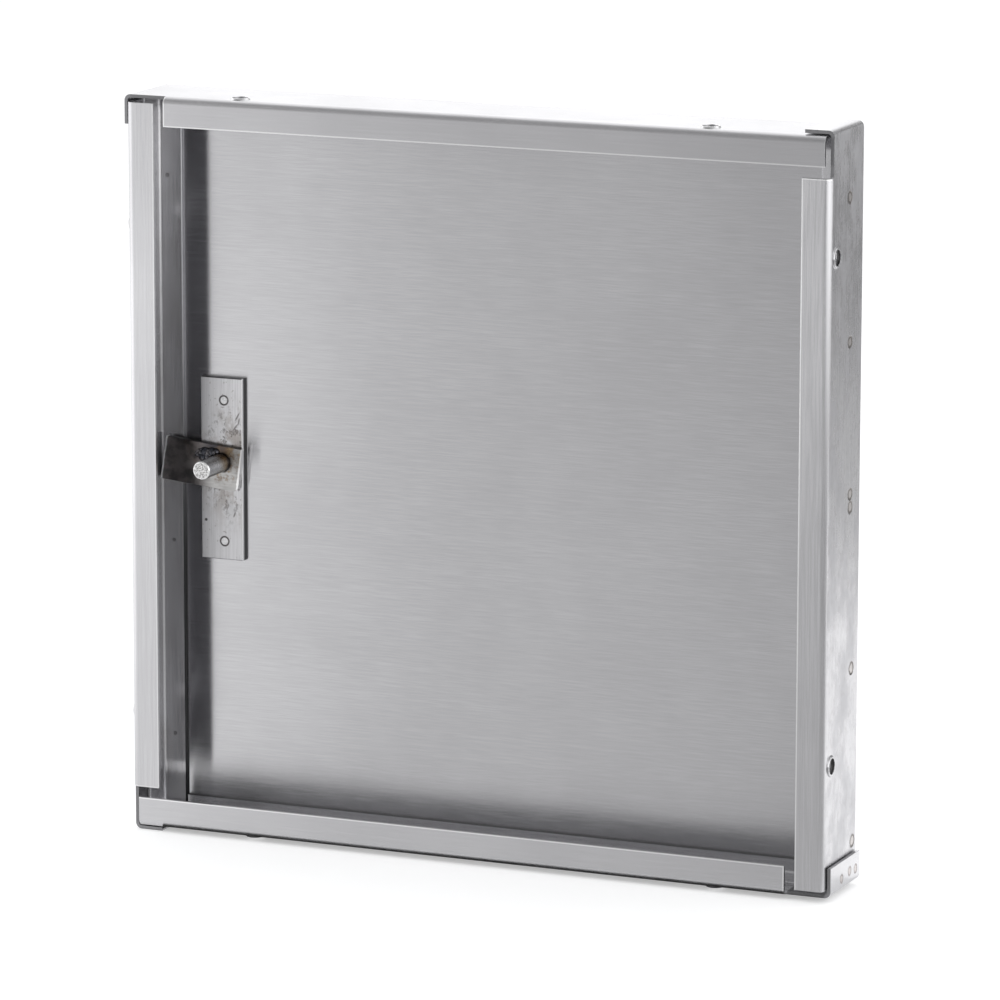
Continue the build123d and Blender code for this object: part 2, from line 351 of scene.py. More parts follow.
def spot_marks(places, radius, tint, depth, dark):
    """Electrode marks: a dark ring round a shallow, slightly scorched middle. Places are in mm."""
    def marks(m, base, roughness):
        ragged = m.math("MULTIPLY", m.noise((500.0, 500.0, 500.0), detail=2.0), radius * 0.5)
        for place in places:
            gap = m.math("SUBTRACT", m.total(m.away(in_metres(*place)), ragged), radius * 0.25)
            inside = m.span(gap, radius * 0.75, radius * 1.05, 1, 0)
            ring = m.band(gap, radius * 0.62, radius * 1.0, radius * 0.12)
            base = m.mix(m.both(inside, 0.35), base, tint)
            base = m.mix(m.both(ring, dark), base, times(tint, 0.18))
            m.raise_by(m.math("MULTIPLY", inside, -depth))
        return base, roughness
    return marks


def mill_finish(m, base, roughness):
    """The outer face of a web: duller than the flange, and mottled."""
    outside = m.span(m.math("ABSOLUTE", m.axis(0)), (WEB_FACE - 0.4) * MM, (WEB_FACE - 0.15) * MM)
    mottle = m.noise((70.0, 70.0, 45.0), detail=4.0, offset=(1.3, 8.1, 2.2), rough=0.62)
    specks = m.noise((420.0, 420.0, 260.0), detail=2.0, offset=(9.2, 4.4, 0.7), rough=0.6)
    base = m.mix(m.both(outside, m.span(mottle, 0.36, 0.64, 0.0, 0.42)), base, (0.40, 0.40, 0.42))
    base = m.mix(m.both(outside, m.span(specks, 0.50, 0.68, 0.0, 0.22)), base, (0.36, 0.35, 0.35))
    roughness = m.total(roughness, m.both(outside, m.span(mottle, 0.35, 0.7, 0.0, 0.10)))
    return base, roughness


# For each side: the axis along it, the way to its tab, the axis across it, and the way out
SIDES = {"bottom": (0, 1, 2, -1), "right": (2, 1, 0, 1), "top": (0, -1, 2, 1), "left": (2, -1, 0, -1)}
MIDDLES = {0: 0.0, 2: MIDDLE_Z}


def from_middle(m, axis, way):
    """Distance from the panel's middle along one axis, in metres."""
    return m.math("MULTIPLY", m.math("SUBTRACT", m.axis(axis), MIDDLES[axis]), way)


def from_rear(m):
    """Depth from the rear face, in metres."""
    return m.math("SUBTRACT", m.axis(1), REAR * MM)


def folded_edges(m, base, side):
    """Painted highlights along the free edges and ends, painted shade on the inner faces (painted light
    on the bottom one), and painted shade in the hollow past the end of each flange.
    """
    along, to_tab, across, outwards = SIDES[side]
    run = from_middle(m, along, to_tab)
    lift = from_middle(m, across, outwards)
    depth = from_rear(m)
    skin = m.span(depth, (SHEET + 0.1) * MM, (SHEET + 0.4) * MM, 1, 0)
    free_edge = m.both(m.span(lift, (FLANGE_TIP + 0.7) * MM, (FLANGE_TIP + 0.4) * MM), skin)
    near_end = m.span(run, (FLANGE_END - 0.7) * MM, (FLANGE_END - 0.4) * MM)
    near_end = m.both(near_end, m.span(run, (FLANGE_END + 0.65) * MM, (FLANGE_END + 0.95) * MM, 1, 0))
    # Painted highlight: the flanges' free edges and ends are lightened to stand in for light caught by
    # the broken edges.
    highlight_share = 0.30 if side == "left" else 0.75
    edge_highlight = m.both(m.either(free_edge, m.both(near_end, skin)), highlight_share)
    base = m.mix(edge_highlight, base, (0.96, 0.96, 0.97))
    # Painted shade: the flanges' inner faces are darkened where they lie in shade; on the bottom channel
    # they are lightened instead, a painted light.
    inner = (WEB_FACE - SHEET) * MM
    within = [m.span(m.math("ABSOLUTE", v), inner + 0.2 * MM, inner) for v in (run, lift)]
    inside = m.both(m.both(*within), m.span(depth, (SHEET - 0.15) * MM, (SHEET - 0.05) * MM))
    if side == "bottom":
        base = m.mix(m.both(inside, 0.65), base, (0.90, 0.90, 0.91))
    else:
        base = m.mix(m.both(inside, 0.30), base, (0.16, 0.155, 0.165))
    # Painted shade in the hollow past each flange's end and on the cut faces near the rear, where the
    # channel's inside lies in shadow.
    past = m.span(run, (FLANGE_END + 0.25) * MM, (FLANGE_END + 0.65) * MM)
    short_of_tab = m.span(run, (WEB_FACE - 0.45) * MM, (WEB_FACE - 0.75) * MM)
    under_skin = m.span(lift, (WEB_FACE - 0.05) * MM, (WEB_FACE - 0.25) * MM)
    hollow_shade = m.both(m.both(past, short_of_tab), under_skin)
    cut_face_shade = m.both(past, m.span(depth, 3.4 * MM, 3.2 * MM))
    return m.mix(m.both(m.either(hollow_shade, m.both(cut_face_shade, 0.9)), 0.8), base, (0.12, 0.12, 0.125))


def channel_marks(side, further=None):
    """What one channel's finish has beside its brushing."""
    def marks(m, base, roughness):
        if further:
            base, roughness = further(m, base, roughness)
        return folded_edges(m, base, side), roughness
    return marks


def right_web(m, base, roughness):
    """Mottled web with painted shade in its screw holes' bores, and six spot marks."""
    base, roughness = mill_finish(m, base, roughness)
    for height in RIGHT_HOLES:
        middle = in_metres(WEB_FACE, REAR + HOLE_DEPTH, height)
        # Painted shade: the bores of the screw holes are darkened where they lie in shadow.
        bore = m.span(m.away(middle, (0, 1, 1)), 4.2 * MM, 4.6 * MM, 1, 0)
        deep = m.span(m.axis(0), (WEB_FACE + 0.55) * MM, (WEB_FACE + 0.25) * MM)
        base = m.mix(m.both(m.both(bore, deep), 0.95), base, (0.03, 0.03, 0.03))
    places = [(WEB_FACE, REAR + depth, height) for depth, height in RIGHT_SPOTS]
    return spot_marks(places, 2.9 * MM, (0.46, 0.40, 0.35), 0.36 * MM, 0.75)(m, base, roughness)


def top_web(m, base, roughness):
    """The dimples of the top screw holes, painted paler than the sheet as a painted highlight."""
    for across in TOP_HOLES:
        middle = in_metres(across, REAR + HOLE_DEPTH, 0)
        # Painted highlight on the dimples.
        bore = m.span(m.away(middle, (1, 1, 0)), 5.0 * MM, 5.5 * MM, 1, 0)
        base = m.mix(m.both(bore, 0.5), base, (0.86, 0.86, 0.87))
    return base, roughness


def bottom_tab(m, base, roughness):
    """Three scorched spot marks on the tab of the bottom channel."""
    places = [(TAB_FACE, REAR + depth, height) for depth, height in TAB_SPOTS]
    return spot_marks(places, 2.1 * MM, (0.34, 0.25, 0.20), 0.10 * MM, 0.45)(m, base, roughness)


# Painted shade along the stop lips' sheared edges, one grey for each side
LIP_EDGE_SHADES = {"bottom": (0.03, 0.03, 0.03), "right": (0.40, 0.40, 0.42), "top": (0.16, 0.16, 0.17)}


def stop_marks(side, further=None):
    """A painted highlight along the leg's sheared edge, and painted shade along the lip's sheared edge.
    """
    def marks(m, base, roughness):
        if further:
            base, roughness = further(m, base, roughness)
        _, _, across, outwards = SIDES[side]
        lift = from_middle(m, across, outwards)
        leg_edge = m.span(from_rear(m), (LEG_DEPTH + 0.6) * MM, (LEG_DEPTH + 0.3) * MM)
        lip_edge = m.span(lift, (LIP_EDGES[side] + 0.55) * MM, (LIP_EDGES[side] + 0.3) * MM)
        # Painted highlight along the leg's edge.
        base = m.mix(m.both(leg_edge, 0.75), base, (0.95, 0.95, 0.96))
        if side == "left":
            # Painted shade on the left lip's edge, darkest towards the bottom.
            lip_edge_shade = m.mix(m.span(m.axis(2), 110 * MM, 230 * MM), (0.01, 0.01, 0.01), (0.50, 0.50, 0.52))
            return m.mix(m.both(lip_edge, 0.95), base, lip_edge_shade), roughness
        # Painted shade along the lip's edge.
        return m.mix(m.both(lip_edge, 0.8), base, LIP_EDGE_SHADES[side]), roughness
    return marks


def left_lip(m, base, roughness):
    """Faint stains and three small dark spot marks."""
    places = [(across, REAR + LIP_DEPTH, height) for across, height in LIP_SPOTS]
    stain = m.noise((90.0, 90.0, 35.0), detail=3.0, offset=(6.0, 1.0, 2.0))
    base = m.mix(m.span(stain, 0.45, 0.70, 0.0, 0.35), base, (0.38, 0.37, 0.37))
    return spot_marks(places, 0.85 * MM, (0.16, 0.15, 0.15), 0.10 * MM, 0.9)(m, base, roughness)


def rubbed_plate(m, base, roughness):
    """Brownish smudges round the cam, fine scratches and a few pits; painted shade on the cut sides and
    a painted highlight along the right arris.
    """
    smudge = m.noise((160.0, 160.0, 110.0), detail=4.0, offset=(2.7, 0.4, 6.1), rough=0.65)
    gap = m.away((SHAFT_X + 3 * MM, CAM_FACE, SHAFT_Z - 1 * MM), (1.0, 1.0, 0.62))
    near = m.span(gap, 6 * MM, 21 * MM, 1, 0)
    base = m.mix(m.both(near, m.span(smudge, 0.44, 0.60, 0.0, 0.7)), base, (0.27, 0.235, 0.21))
    grime = m.noise((430.0, 430.0, 300.0), detail=4.0, offset=(0.7, 3.4, 8.1), rough=0.7)
    base = m.mix(m.both(near, m.span(grime, 0.53, 0.62, 0.0, 0.8)), base, (0.11, 0.10, 0.095))
    scratch = m.noise((900.0, 900.0, 60.0), detail=2.0, offset=(0.3, 0.9, 0.1))
    base = m.mix(m.span(scratch, 0.60, 0.70, 0.0, 0.35), base, (0.40, 0.40, 0.41))
    pits = m.noise((700.0, 700.0, 700.0), detail=1.0, offset=(4.0, 4.0, 4.0))
    base = m.mix(m.span(pits, 0.70, 0.76, 0.0, 0.6), base, (0.25, 0.23, 0.22))
    for across, height, length, lean in PLATE_SCRATCHES:
        gap = m.away(in_metres(across, REAR + PLATE_DEPTH, height), (1, 1, 0.30 / length), lean)
        base = m.mix(m.both(m.span(gap, 0.22 * MM, 0.52 * MM, 1, 0), 0.75), base, (0.13, 0.12, 0.12))
    gap = m.away(in_metres(PLATE_PIT[0], REAR + PLATE_DEPTH, PLATE_PIT[1]))
    base = m.mix(m.both(m.span(gap, 0.5 * MM, 0.8 * MM, 1, 0), 0.9), base, (0.05, 0.05, 0.05))
    for height in RIVET_HEIGHTS:
        gap = m.away(in_metres(SHAFT_X / MM, REAR + PLATE_DEPTH, height))
        rim = m.band(gap, 1.8 * MM, 2.35 * MM, 0.12 * MM)
        base = m.mix(m.both(rim, 0.85), base, (0.12, 0.11, 0.11))
    low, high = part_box("latch_plate")
    # Painted shade and painted reflection: the plate's cut sides are darkened.
    cut_face_shade = m.either(*(
        m.span(m.axis(index), high[index] - 0.3 * MM, high[index] - 0.15 * MM) for index in (0, 2)))
    base = m.mix(m.both(cut_face_shade, 0.92), base, (0.05, 0.05, 0.05))
    # Painted highlight along the arris of the right side, at the front.
    arris = m.both(
        m.span(m.axis(0), high[0] - 0.5 * MM, high[0] - 0.3 * MM),
        m.span(m.axis(1), low[1] + 1.3 * MM, low[1] + 1.1 * MM))
    return m.mix(arris, base, (0.85, 0.85, 0.86)), roughness


# Heat tints of the cam, from bare steel to the weld
STEEL = (0.47, 0.465, 0.46)
STRAW = (0.42, 0.32, 0.20)
BROWN = (0.17, 0.12, 0.085)
BLUE_BLACK = (0.075, 0.072, 0.08)


def scorched_cam():
    """The cam: straw, brown and blue-black round the weld, and pale at its right end; painted shade on
    its top face and round the shaft, and painted highlights on its end faces and along the edges of both
    ends.
    """
    m = Finish("cam_bar_heat_tint")
    m.grain_along(ACROSS, 0.6)
    wander = m.noise((230.0, 230.0, 230.0), detail=4.0, offset=(5.5, 1.1, 3.3), rough=0.6)
    fine = m.noise((120.0, 900.0, 1100.0), detail=3.0)
    weld = (SHAFT_X - 6 * MM, CAM_FACE, SHAFT_Z + 6 * MM)
    gap = m.total(m.away(weld), m.math("MULTIPLY", wander, 10 * MM))
    base = m.mix(m.span(fine, 0.3, 0.7), times(STEEL, 0.82), times(STEEL, 1.05))
    for near, far, tint in ((15.0, 17.0, STRAW), (13.5, 15.2, BROWN), (9.0, 13.8, BLUE_BLACK)):
        base = m.mix(m.span(gap, near * MM, far * MM, 1, 0), base, tint)
    left = m.span(m.axis(0), SHAFT_X - 4 * MM, SHAFT_X - 11 * MM)
    soot = m.mix(m.span(wander, 0.35, 0.65), (0.15, 0.14, 0.14), (0.29, 0.265, 0.26))
    base = m.mix(m.both(left, 0.9), base, soot)
    # Painted shade and painted reflection on the cam's top face.
    base = m.mix(m.both(m.span(m.facing(2), 0.45, 0.75), 0.85), base, (0.03, 0.03, 0.03))
    ring = m.total(m.away((SHAFT_X, 0, SHAFT_Z), (1, 0, 1)), m.math("MULTIPLY", fine, 1.4 * MM))
    pale = m.span(m.axis(0), SHAFT_X - 2 * MM, SHAFT_X + 3 * MM)
    stain = m.noise((380.0, 380.0, 380.0), detail=4.0, offset=(8.8, 2.1, 4.2), rough=0.7)
    close = m.span(ring, 7 * MM, 12 * MM, 1, 0)
    base = m.mix(m.both(close, m.span(stain, 0.44, 0.60, 0.0, 0.75)), base, BROWN)
    wider = m.both(pale, m.span(ring, 12 * MM, 20 * MM, 1, 0))
    base = m.mix(m.both(wider, m.span(stain, 0.54, 0.66, 0.0, 0.5)), base, STRAW)
    # Painted shade in a ring round the shaft's root.
    base = m.mix(m.span(ring, 4.6 * MM, 5.6 * MM, 0.95, 0.0), base, (0.02, 0.02, 0.02))
    # Painted highlights: the end faces are lightened, and white lines run along the edges of both ends.
    ends = m.either(m.span(m.facing(0), -0.25, -0.60), m.span(m.facing(0), 0.25, 0.60))
    base = m.mix(m.both(ends, 0.75), base, (0.80, 0.80, 0.80))
    ragged = m.noise((260.0, 260.0, 260.0), detail=2.0, offset=(3.0, 9.0, 6.0))
    uneven = m.math("MULTIPLY", ragged, 0.9 * MM)
    skewed_end = ((CAM_UPPER[0] + CAM_SKEW, CAM_UPPER[1]), CAM_LOWER)
    for line, wide, amount in ((skewed_end, 1.05 * MM, 0.9), ((CAM_HEEL, CAM_TOE), 0.75 * MM, 0.8)):
        edge_glint = m.math("ADD", m.math("ABSOLUTE", m.past_line(*line)), uneven)
        base = m.mix(m.span(edge_glint, wide, wide + 0.25 * MM, amount, 0.0), base, (1.0, 1.0, 1.0))
    m.raise_by(m.math("MULTIPLY", fine, 0.003 * MM))
    m.raise_by(m.math("MULTIPLY", wander, 0.10 * MM))
    return m.done(base, m.span(wander, 0.3, 0.7, 0.28, 0.42))


def weld_scale():
    """The weld bead: blue-black scale with small bright ripples."""
    m = Finish("weld_metal_scale")
    ripple = m.noise((900.0, 900.0, 900.0), detail=3.0, rough=0.6)
    patch = m.noise((330.0, 330.0, 330.0), detail=3.0, offset=(1.9, 6.4, 3.0))
    base = m.mix(m.span(patch, 0.4, 0.65), (0.055, 0.058, 0.070), (0.17, 0.16, 0.165))
    base = m.mix(m.span(ripple, 0.62, 0.76, 0.0, 0.45), base, (0.42, 0.39, 0.36))
    m.raise_by(m.math("MULTIPLY", ripple, 0.12 * MM))
    return m.done(base, m.span(patch, 0.3, 0.7, 0.16, 0.30))


def turned_shaft():
    """The shaft: tool rings along it, straw heat tint near the weld and a mottled sawn end, with a
    painted highlight round the rim of the end and painted shade along its underside.
    """
    m = Finish("turned_shaft_steel")
    rings = m.noise((60.0, 1500.0, 60.0), detail=2.0)
    blotch = m.noise((520.0, 260.0, 520.0), detail=3.0, offset=(2.0, 7.0, 1.0))
    base = m.mix(m.span(rings, 0.3, 0.7), (0.50, 0.50, 0.51), (0.64, 0.64, 0.65))
    root = m.total(m.axis(1), m.math("MULTIPLY", blotch, 4 * MM))
    tinted = m.span(root, CAM_FACE - 7.5 * MM, CAM_FACE - 1.5 * MM, 0.0, 0.85)
    base = m.mix(tinted, base, (0.34, 0.24, 0.13))
    burnt = m.span(root, CAM_FACE - 2.0 * MM, CAM_FACE + 1.0 * MM, 0.0, 0.9)
    base = m.mix(burnt, base, (0.07, 0.06, 0.06))
    end = m.span(m.axis(1), SHAFT_END + 0.03 * MM, SHAFT_END + 0.07 * MM, 1, 0)
    speckle = m.noise((1700.0, 1700.0, 1700.0), detail=2.0, offset=(0.2, 0.4, 0.6))
    worn = m.mix(m.span(speckle, 0.40, 0.58), (0.24, 0.235, 0.23), (0.74, 0.74, 0.74))
    base = m.mix(m.both(end, 0.8), base, worn)
    # Painted highlight round the rim of the shaft's end.
    gap = m.away((SHAFT_X, 0, SHAFT_Z), (1, 0, 1))
    near_end = m.span(m.axis(1), SHAFT_END + 0.55 * MM, SHAFT_END + 0.45 * MM)
    rim = m.both(m.band(gap, 3.4 * MM, 4.0 * MM, 0.15 * MM), near_end)
    base = m.mix(m.both(rim, 0.9), base, (0.97, 0.97, 0.97))
    # Painted shade and painted reflection along the shaft's underside.
    behind_end = m.span(m.axis(1), SHAFT_END + 0.25 * MM, SHAFT_END + 0.75 * MM)
    under = m.both(m.span(m.facing(2), -0.40, -0.65), behind_end)
    base = m.mix(m.both(under, 0.9), base, (0.04, 0.04, 0.04))
    m.raise_by(m.math("MULTIPLY", rings, 0.010 * MM))
    m.raise_by(m.both(end, m.math("MULTIPLY", speckle, 0.06 * MM)))
    return m.done(base, m.span(blotch, 0.3, 0.7, 0.20, 0.36))


def ground_rivet():
    """A rivet end, ground flush, with swirl marks and dirt round its rim."""
    m = Finish("ground_rivet_end")
    swirl = m.noise((1100.0, 300.0, 1100.0), detail=3.0, warp=1.2)
    base = m.mix(m.span(swirl, 0.32, 0.68), (0.50, 0.50, 0.51), (0.74, 0.74, 0.75))
    for height in RIVET_HEIGHTS:
        gap = m.away((SHAFT_X, 0, height * MM), (1, 0, 1))
        rim = m.both(m.span(gap, 1.45 * MM, 1.7 * MM), m.span(gap, 4.0 * MM, 5.0 * MM, 1, 0))
        base = m.mix(m.both(rim, 0.85), base, (0.12, 0.11, 0.11))
    m.raise_by(m.math("MULTIPLY", swirl, 0.05 * MM))
    return m.done(base, m.span(swirl, 0.3, 0.7, 0.28, 0.42))


FINISHES = {
    "frame_bottom_channel": stainless(
        "bottom_channel_sheet", ACROSS, 0.60, marks=channel_marks("bottom", bottom_tab)),
    "frame_right_channel": stainless(
        "right_channel_sheet", UPRIGHT, 0.60, streaks=0.06, marks=channel_marks("right", right_web)),
    "frame_top_channel": stainless(
        "top_channel_sheet", ACROSS, 0.60, marks=channel_marks("top", top_web)),
    "frame_left_channel": stainless(
        "left_channel_sheet", UPRIGHT, 0.57, streaks=0.05, marks=channel_marks("left", mill_finish)),
    # Painted light: the bottom stop is a paler copy of the stop sheet, lifted where it lies in shade.
    "stop_angle_bottom": stainless(
        "bottom_stop_sheet", ACROSS, 0.70, rough=0.22, marks=stop_marks("bottom")),
    "stop_angle_right": stainless(
        "right_stop_sheet", UPRIGHT, 0.57, rough=0.22, marks=stop_marks("right")),
    "stop_angle_top": stainless(
        "top_stop_sheet", ACROSS, 0.57, rough=0.22, marks=stop_marks("top")),
    "stop_angle_left": stainless(
        "left_stop_sheet", UPRIGHT, 0.57, rough=0.24, marks=stop_marks("left", left_lip)),
    "hinge_frame_leaf": stainless("frame_leaf_sheet", UPRIGHT, 0.58, rough=0.24),
    "hinge_pin": stainless("hinge_pin_wire", UPRIGHT, 0.56, rough=0.22),
    "door_tray": stainless(
        "door_sheet", ACROSS, 0.59, rough=0.20, streaks=0.06, hair=DOOR_HAIR),
    "hinge_door_leaf": stainless("door_leaf_sheet", UPRIGHT, 0.58, rough=0.24),
    "latch_plate": stainless(
        "latch_plate_bar", UPRIGHT, 0.60, rough=0.33, streaks=0.08, anisotropy=0.6, marks=rubbed_plate),
    "cam_shaft": turned_shaft(),
    "cam_plate": scorched_cam(),
    "cam_weld": weld_scale(),
}
FINISHES["latch_rivet_upper"] = FINISHES["latch_rivet_lower"] = ground_rivet()


# Modelling helpers

def deselect():
    """Leaves edit mode and selects nothing."""
    if bpy.context.object and bpy.context.object.mode != "OBJECT":
        bpy.ops.object.mode_set(mode="OBJECT")
    bpy.ops.object.select_all(action="DESELECT")


def activate(piece):
    """Selects one piece alone."""
    deselect()
    piece.select_set(True)
    bpy.context.view_layer.objects.active = piece


def finish_with(piece, kind, **settings):
    """Adds a modifier and applies it."""
    activate(piece)
    modifier = piece.modifiers.new(kind.lower(), kind)
    for key, value in settings.items():
        setattr(modifier, key, value)
    bpy.ops.object.modifier_apply(modifier=modifier.name)


def dressed(node, name, body, edge=SHEET_EDGE):
    """A copy of a solid with its sheet edges broken, which stands for the solid."""
    activate(frame["nodes"][node])
    bpy.ops.object.duplicate()
    piece = bpy.context.view_layer.objects.active
    piece.name = name
    piece.data.name = name
    del piece["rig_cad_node"]
    del piece["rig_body"]
    piece.parent = None
    bpy.ops.object.mode_set(mode="EDIT")
    bpy.ops.mesh.select_all(action="SELECT")
    bpy.ops.mesh.remove_doubles(threshold=0.000002)
    bpy.ops.mesh.dissolve_limited(angle_limit=math.radians(0.5))
    bpy.ops.object.mode_set(mode="OBJECT")
    finish_with(
        piece, "BEVEL", width=edge, segments=3, limit_method="ANGLE",
        angle_limit=math.radians(40), use_clamp_overlap=True, harden_normals=False)
    bpy.ops.object.shade_smooth_by_angle(angle=math.radians(50))
    finish_with(piece, "WEIGHTED_NORMAL", mode="FACE_AREA", weight=100, keep_sharp=True)
    piece.data.materials.clear()
    piece.data.materials.append(FINISHES[node])
    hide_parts(node)
    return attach(piece, body)


def skew_end(cam):
    """The cam's long end was cut a little out of square: its upper corner is pulled in."""
    activate(cam)
    for vertex in cam.data.vertices:
        gap = math.hypot(vertex.co.x - CAM_UPPER[0], vertex.co.z - CAM_UPPER[1])
        vertex.select = gap < 2 * MM
    bpy.ops.object.mode_set(mode="EDIT")
    bpy.ops.transform.translate(value=(CAM_SKEW, 0, 0))
    bpy.ops.object.mode_set(mode="OBJECT")


# The frame

for side in ("bottom", "right", "top", "left"):
    dressed(f"frame_{side}_channel", f"{side}_channel_sheet", "frame")
    dressed(f"stop_angle_{side}", f"{side}_stop_angle_sheet", "frame")
dressed("hinge_frame_leaf", "frame_hinge_leaf", "frame", edge=HINGE_EDGE)
dressed("hinge_pin", "hinge_pin_wire", "frame", edge=HINGE_EDGE)

# The door

dressed("door_tray", "door_tray_sheet", "door")
dressed("hinge_door_leaf", "door_hinge_leaf", "door", edge=HINGE_EDGE)
dressed("latch_plate", "latch_plate_bar", "door", edge=0.3 * MM)
for end in ("upper", "lower"):
    dressed(f"latch_rivet_{end}", f"{end}_rivet", "door", edge=0.35 * MM)

# The latch

dressed("cam_shaft", "latch_shaft", "latch", edge=0.15 * MM)
cam = dressed("cam_plate", "latch_cam", "latch", edge=0.3 * MM)
skew_end(cam)


# Puddles of the weld: (across, up, radius) in mm from the shaft's centre
WELD_PUDDLES = (
    (-2.6, 4.4, 1.8), (-4.4, 4.4, 2.2), (-6.2, 3.9, 2.5), (-8.0, 3.7, 2.5), (-9.9, 3.7, 2.2),
    (-11.1, 3.1, 1.6), (-8.8, 2.2, 2.1), (-6.6, 2.0, 2.4), (-6.2, 0.6, 2.1), (-5.8, -1.0, 1.9),
    (-5.2, -2.5, 1.6))


def weld_bead():
    """A lumpy bead round the upper left of the shaft: overlapping puddles melted into one."""
    draw = random.Random(11)
    puddles = []
    for dx, dz, wide in WELD_PUDDLES:
        centre = (SHAFT_X + dx * MM, CAM_FACE + 0.1 * MM, SHAFT_Z + dz * MM)
        deselect()
        bpy.ops.mesh.primitive_uv_sphere_add(segments=28, ring_count=16, radius=1.0, location=centre)
        puddle = bpy.context.object
        puddle.scale = (wide * MM, draw.uniform(1.6, 2.4) * MM, draw.uniform(0.85, 1.05) * wide * MM)
        puddle.rotation_euler = [draw.uniform(-lean, lean) for lean in (0.2, 0.5, 0.2)]
        bpy.ops.object.transform_apply(location=True, rotation=True, scale=True)
        puddles.append(puddle)
    deselect()
    for puddle in puddles:
        puddle.select_set(True)
    bpy.context.view_layer.objects.active = puddles[0]
    bpy.ops.object.join()
    bead = bpy.context.object
    bead.name = "cam_weld_bead"
    bead.data.name = "cam_weld_bead"
    finish_with(bead, "REMESH", mode="VOXEL", voxel_size=0.22 * MM)
    finish_with(bead, "SMOOTH", factor=0.6, iterations=3)
    bpy.ops.object.shade_smooth()
    bead.data.materials.clear()
    bead.data.materials.append(FINISHES["cam_weld"])
    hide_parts("cam_weld")
    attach(bead, "latch")


weld_bead()


# Floor, light and camera

def seen_rays(tree):
    """1 for the rays that look at a thing: camera, glossy and transmission rays."""
    path = tree.nodes.new("ShaderNodeLightPath")
    result = path.outputs["Is Camera Ray"]
    for name in ("Is Glossy Ray", "Is Transmission Ray"):
        wider = tree.nodes.new("ShaderNodeMath")
        wider.operation = "MAXIMUM"
        tree.links.new(result, wider.inputs[0])
        tree.links.new(path.outputs[name], wider.inputs[1])
        result = wider.outputs[0]
    return result


def white_world():
    """White where it is looked at, and softer where it only lights."""
    world = bpy.data.worlds.new("studio")
    bpy.context.scene.world = world
    world.use_nodes = True
    tree = world.node_tree
    background = tree.nodes["Background"]
    background.inputs["Color"].default_value = (0.98, 0.99, 1.0, 1)
    background.inputs["Strength"].default_value = 0.75
    seen = tree.nodes.new("ShaderNodeBackground")
    seen.inputs["Color"].default_value = (1, 1, 1, 1)
    mix = tree.nodes.new("ShaderNodeMixShader")
    tree.links.new(seen_rays(tree), mix.inputs[0])
    tree.links.new(background.outputs[0], mix.inputs[1])
    tree.links.new(seen.outputs[0], mix.inputs[2])
    tree.links.new(mix.outputs[0], tree.nodes["World Output"].inputs["Surface"])


def pale_floor():
    """White paper that glows a little for the rays that look at it."""
    deselect()
    bpy.ops.mesh.primitive_plane_add(size=9.0, location=(0, 0, 0))
    floor = bpy.context.object
    floor.name = "studio_floor"
    material = bpy.data.materials.new("floor_paper")
    material.use_nodes = True
    tree = material.node_tree
    shader = tree.nodes["Principled BSDF"]
    shader.inputs["Base Color"].default_value = (0.80, 0.80, 0.80, 1)
    shader.inputs["Roughness"].default_value = 0.9
    shader.inputs["Specular IOR Level"].default_value = 0.0
    glow = tree.nodes.new("ShaderNodeEmission")
    glow.inputs["Color"].default_value = (1, 1, 1, 1)
    glow.inputs["Strength"].default_value = 0.42
    add = tree.nodes.new("ShaderNodeAddShader")
    mix = tree.nodes.new("ShaderNodeMixShader")
    tree.links.new(seen_rays(tree), mix.inputs[0])
    tree.links.new(shader.outputs[0], add.inputs[0])
    tree.links.new(glow.outputs[0], add.inputs[1])
    tree.links.new(shader.outputs[0], mix.inputs[1])
    tree.links.new(add.outputs[0], mix.inputs[2])
    tree.links.new(mix.outputs[0], tree.nodes["Material Output"].inputs["Surface"])
    floor.data.materials.append(material)


def softbox(name, place, aim, width, height, power):
    """A lamp for the floor and its shadow. The metal reflects the cards instead."""
    lamp = bpy.data.lights.new(name, "AREA")
    lamp.shape = "RECTANGLE"
    lamp.size = width
    lamp.size_y = height
    lamp.energy = power
    item = bpy.data.objects.new(name, lamp)
    bpy.context.scene.collection.objects.link(item)
    item.location = place
    item.rotation_euler = (Vector(aim) - Vector(place)).to_track_quat("-Z", "Y").to_euler()
    item.visible_glossy = False


